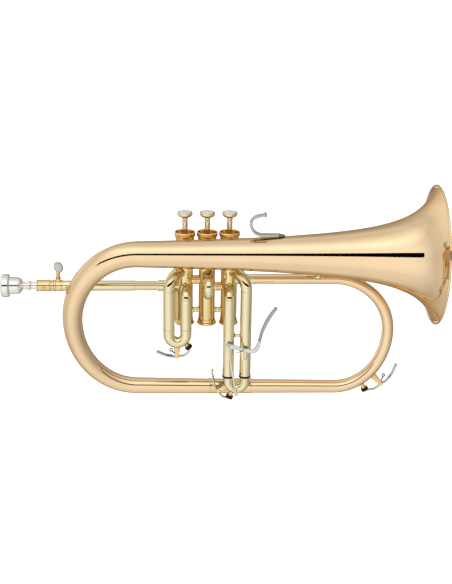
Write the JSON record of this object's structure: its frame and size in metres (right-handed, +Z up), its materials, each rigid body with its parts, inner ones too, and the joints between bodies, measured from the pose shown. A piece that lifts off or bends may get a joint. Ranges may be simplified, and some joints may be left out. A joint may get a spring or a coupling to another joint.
{
  "type": "flugelhorn",
  "caption": "Conical-bore brass horn with piston valves, a wide flared bell, round bows, vertical valve slides, a slide trigger, water keys and a clamp-tuned leadpipe.",
  "frame": {"origin": "on the middle valve's axis at the height of the leadpipe, where the hand holds the valves", "axes": "+X out of the bell, +Z up along the valves, -Y to the side of the slides"},
  "size_m": [0.475, 0.152, 0.2515],
  "materials": {
    "rose_brass": "lacquered and polished",
    "yellow_brass": "lacquered and polished",
    "nickel": "nickel silver, polished",
    "silver": "silver plate, polished",
    "monel": "lapped",
    "steel": "spring wire",
    "rubber": "black",
    "pearl": "pearl inlay"
  },
  "bodies": {
    "horn": {"leadpipe": "yellow_brass", "leadpipe_ferrule": "yellow_brass", "bell": "rose_brass", "bell_bow": "rose_brass", "tail_sleeve": "yellow_brass", "right_bow": "rose_brass", "exit_ferrule": "yellow_brass", "casing_1": "yellow_brass", "casing_2": "yellow_brass", "casing_3": "yellow_brass", "top_cap_1": "yellow_brass", "top_cap_2": "yellow_brass", "top_cap_3": "yellow_brass", "bottom_cap_1": "yellow_brass", "bottom_cap_2": "yellow_brass", "bottom_cap_3": "yellow_brass", "valve_spring_1": "steel", "valve_spring_2": "steel", "valve_spring_3": "steel", "transfer_tube_12": "yellow_brass", "transfer_tube_23": "yellow_brass", "casing_brace_12": "yellow_brass", "casing_brace_23": "yellow_brass", "first_tube_inner": "yellow_brass", "first_tube_outer": "yellow_brass", "second_tube_upper": "yellow_brass", "second_tube_lower": "yellow_brass", "third_tube_inner": "yellow_brass", "third_tube_outer": "yellow_brass", "third_tube_brace": "yellow_brass", "trigger_saddle": "nickel", "leadpipe_brace": "yellow_brass", "bell_brace": "yellow_brass", "bell_valve_brace": "yellow_brass", "finger_hook": "nickel"},
    "valve_1": {"piston_1": "monel", "stem_1": "yellow_brass", "button_1": "yellow_brass", "pearl_1": "pearl"},
    "valve_2": {"piston_2": "monel", "stem_2": "yellow_brass", "button_2": "yellow_brass", "pearl_2": "pearl"},
    "valve_3": {"piston_3": "monel", "stem_3": "yellow_brass", "button_3": "yellow_brass", "pearl_3": "pearl"},
    "tuning_pipe": {"tuning_pipe": "yellow_brass"},
    "mouthpiece": {"mouthpiece": "silver"},
    "clamp_screw": {"clamp_screw": "nickel"},
    "first_slide": {"first_slide": "yellow_brass"},
    "first_water_key": {"first_water_key": "nickel"},
    "second_slide": {"second_slide": "yellow_brass"},
    "third_slide": {"third_slide": "yellow_brass", "third_bumper_inner": "rubber", "third_bumper_outer": "rubber"},
    "third_water_key": {"third_water_key": "nickel"},
    "trigger_lever": {"trigger_lever": "nickel"},
    "link_rod": {"link_rod": "nickel"},
    "bow_water_key": {"bow_water_key": "nickel"}
  },
  "joints": [
    {"name": "valve_1_press", "type": "slide", "parent": "horn", "child": "valve_1", "axis": [0, 0, -1], "range_m": [0, 0.0165], "stiffness_N_per_m": 150, "springref_m": -0.02, "deforming": ["valve_spring_1"]},
    {"name": "valve_2_press", "type": "slide", "parent": "horn", "child": "valve_2", "axis": [0, 0, -1], "range_m": [0, 0.0165], "stiffness_N_per_m": 150, "springref_m": -0.02, "deforming": ["valve_spring_2"]},
    {"name": "valve_3_press", "type": "slide", "parent": "horn", "child": "valve_3", "axis": [0, 0, -1], "range_m": [0, 0.0165], "stiffness_N_per_m": 150, "springref_m": -0.02, "deforming": ["valve_spring_3"]},
    {"name": "tuning_pull", "type": "slide", "parent": "horn", "child": "tuning_pipe", "axis": [-1, 0, 0], "range_m": [0, 0.015]},
    {"name": "mouthpiece_lift_off", "type": "slide", "parent": "tuning_pipe", "child": "mouthpiece", "axis": [-1, 0, 0], "range_m": [0, 0.03]},
    {"name": "clamp_screw_turn", "type": "hinge", "parent": "horn", "child": "clamp_screw", "pos_m": [-0.1642, 0, 0.01], "axis": [0, 0, 1], "range_deg": [0, 180]},
    {"name": "first_slide_pull", "type": "slide", "parent": "horn", "child": "first_slide", "axis": [0, 0, -1], "range_m": [0, 0.02]},
    {"name": "second_slide_pull", "type": "slide", "parent": "horn", "child": "second_slide", "axis": [0, -1, 0], "range_m": [0, 0.005]},
    {"name": "third_slide_pull", "type": "slide", "parent": "horn", "child": "third_slide", "axis": [0, 0, -1], "range_m": [0, 0.0135], "stiffness_N_per_m": 60, "springref_m": -0.06},
    {"name": "trigger_turn", "type": "hinge", "parent": "horn", "child": "trigger_lever", "pos_m": [0.0428, -0.0304, -0.0659], "axis": [0, -1, 0], "range_deg": [0, 39.5]},
    {"name": "link_rod_turn", "type": "hinge", "parent": "third_slide", "child": "link_rod", "pos_m": [0.033, -0.0328, -0.1175], "axis": [0, -1, 0], "range_deg": [-2, 2]},
    {"name": "first_key_turn", "type": "hinge", "parent": "first_slide", "child": "first_water_key", "pos_m": [-0.033, -0.02, -0.0761], "axis": [0, 1, 0], "range_deg": [0, 15], "stiffness_Nm_per_rad": 0.02, "springref_deg": -20.05},
    {"name": "third_key_turn", "type": "hinge", "parent": "third_slide", "child": "third_water_key", "pos_m": [0.0136, -0.02, -0.118], "axis": [0, 1, 0], "range_deg": [0, 15], "stiffness_Nm_per_rad": 0.02, "springref_deg": -20.05},
    {"name": "bow_key_turn", "type": "hinge", "parent": "horn", "child": "bow_water_key", "pos_m": [0.2008, -0.0015, -0.1184], "axis": [0, -1, 0], "range_deg": [0, 15], "stiffness_Nm_per_rad": 0.02, "springref_deg": -20.05}
  ],
  "couplings": [
    {"joint": "trigger_turn", "follows": "third_slide_pull", "rad_per_m": 50.5},
    {"joint": "link_rod_turn", "follows": "third_slide_pull", "rad_per_m": -0.8}
  ]
}
